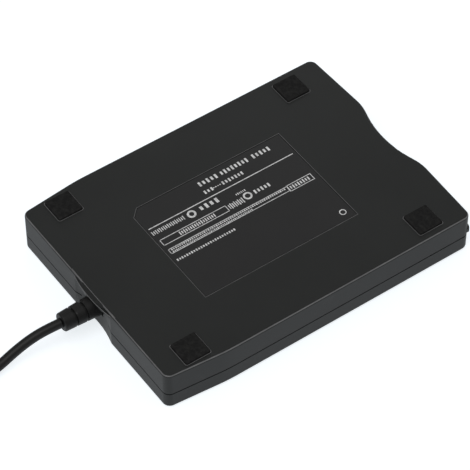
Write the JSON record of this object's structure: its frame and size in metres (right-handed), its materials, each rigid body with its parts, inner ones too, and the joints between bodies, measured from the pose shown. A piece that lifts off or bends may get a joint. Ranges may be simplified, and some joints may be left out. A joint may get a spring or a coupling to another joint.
{
  "type": "external floppy disk drive",
  "caption": "Slim external drive for 90 mm diskettes, with sprung slot door, eject button, full disk mechanism and a fixed lead wound in a flat coil ending in a flat plug.",
  "frame": {"origin": "middle of the housing's footprint, on the plane of the top cover's outer face, which is what the drive lies on here", "axes": "as pictured, upside down: +Z out of the underside with its feet, -Y out of the front with the disk slot, +Y out of the rear with the lead. Turn it 180 degrees about Y to stand it on its feet."},
  "size_m": [0.1088, 0.2961, 0.0193],
  "materials": {
    "case_plastic": "fine spark-eroded texture, slightly shiny",
    "relief_plastic": "smooth satin flexible plastic",
    "cord_jacket": "smooth satin jacket",
    "foot_rubber": "matt rubber",
    "label_film": "printed satin film",
    "button_plastic": "satin",
    "lens_plastic": "clear diffusing",
    "door_plastic": "satin",
    "screw_steel": "black-zinc plated",
    "pressed_steel": "zinc-plated sheet",
    "spring_steel": "bright drawn wire",
    "shaft_steel": "ground and polished",
    "rotor_steel": "plated pressed cup",
    "magnet": "bonded ferrite",
    "bronze": "sintered bronze",
    "copper_wire": "enamelled copper",
    "board": "solder mask over glass epoxy",
    "chip": "moulded epoxy",
    "connector_plastic": "natural nylon",
    "wire_jacket": "thin coloured insulation",
    "carriage_plastic": "glass-filled",
    "head_ceramic": "polished ceramic slider",
    "plug_shell_metal": "nickel plated",
    "plug_insert": "moulded insert",
    "contact_gold": "gold flash"
  },
  "bodies": {
    "housing": {"bottom_case": "case_plastic", "top_cover": "case_plastic", "door_spring": "spring_steel", "light_pipe": "lens_plastic", "label_sheet": "label_film", "case_screws": "screw_steel", "chassis": "pressed_steel", "chassis_screws": "screw_steel", "eject_spring_left": "spring_steel", "eject_spring_right": "spring_steel", "stator_core": "rotor_steel", "stator_coils": "copper_wire", "spindle_bearing": "bronze", "motor_board": "board", "motor_chips": "chip", "controller_board": "board", "controller_chips": "chip", "usb_board": "board", "usb_chips": "chip", "board_posts": "connector_plastic", "lead_connector": "connector_plastic", "lead_wires": "wire_jacket", "guide_rod": "shaft_steel", "rod_clamps": "carriage_plastic", "stepper_motor": "pressed_steel", "disk_switches": "chip", "cord_relief": "relief_plastic", "cord_lead": "cord_jacket", "cord_coil": "cord_jacket", "cord_tail": "cord_jacket", "plug_body": "relief_plastic", "plug_shell": "plug_shell_metal", "plug_tongue": "plug_insert", "plug_contacts": "contact_gold", "foot_1": "foot_rubber", "foot_2": "foot_rubber", "foot_3": "foot_rubber", "foot_4": "foot_rubber"},
    "ejector": {"eject_slider": "pressed_steel", "eject_button": "button_plastic"},
    "holder": {"disk_holder": "pressed_steel", "lever_spring": "spring_steel"},
    "lever": {"shutter_lever": "pressed_steel"},
    "door": {"slot_door": "door_plastic"},
    "spindle": {"spindle_rotor": "rotor_steel", "spindle_hub": "rotor_steel", "rotor_magnet": "magnet"},
    "carriage": {"head_carriage": "carriage_plastic", "pivot_pin": "shaft_steel", "lower_head": "head_ceramic", "arm_spring": "spring_steel"},
    "arm": {"head_arm": "carriage_plastic", "upper_head": "head_ceramic"},
    "screw": {"lead_screw": "shaft_steel"}
  },
  "joints": [
    {"name": "eject_travel", "type": "slide", "parent": "housing", "child": "ejector", "axis": [0, -1, 0], "range_m": [0, 0.0035]},
    {"name": "holder_lift", "type": "slide", "parent": "housing", "child": "holder", "axis": [0, 0, 1], "range_m": [0, 0.0016]},
    {"name": "arm_lift", "type": "hinge", "parent": "carriage", "child": "arm", "pos_m": [0, 0.0555, 0.0064], "axis": [-1, 0, 0], "range_deg": [0, 8.05]},
    {"name": "screw_turn", "type": "hinge", "parent": "housing", "child": "screw", "pos_m": [-0.02, 0.0305, 0.0119], "axis": [0, 1, 0], "range_deg": [0, 1776.01]},
    {"name": "carriage_travel", "type": "slide", "parent": "housing", "child": "carriage", "axis": [0, -1, 0], "range_m": [0, 0.0148]},
    {"name": "spindle_spin", "type": "hinge", "parent": "housing", "child": "spindle", "pos_m": [0, -0.014, 0.0111], "axis": [0, 0, 1], "continuous": true},
    {"name": "lever_swing", "type": "hinge", "parent": "holder", "child": "lever", "pos_m": [-0.042, -0.002, 0.0029], "axis": [0, 0, 1], "range_deg": [0, 62], "stiffness_Nm_per_rad": 0.002, "springref_deg": -20.05},
    {"name": "door_swing", "type": "hinge", "parent": "housing", "child": "door", "pos_m": [0, -0.0647, 0.0036], "axis": [-1, 0, 0], "range_deg": [0, 80], "stiffness_Nm_per_rad": 0.0004, "springref_deg": -28.65}
  ],
  "couplings": [
    {"joint": "holder_lift", "follows": "eject_travel", "ratio": 0.45714},
    {"joint": "arm_lift", "follows": "eject_travel", "rad_per_m": 40.131},
    {"joint": "screw_turn", "follows": "carriage_travel", "rad_per_m": 2094.4}
  ]
}
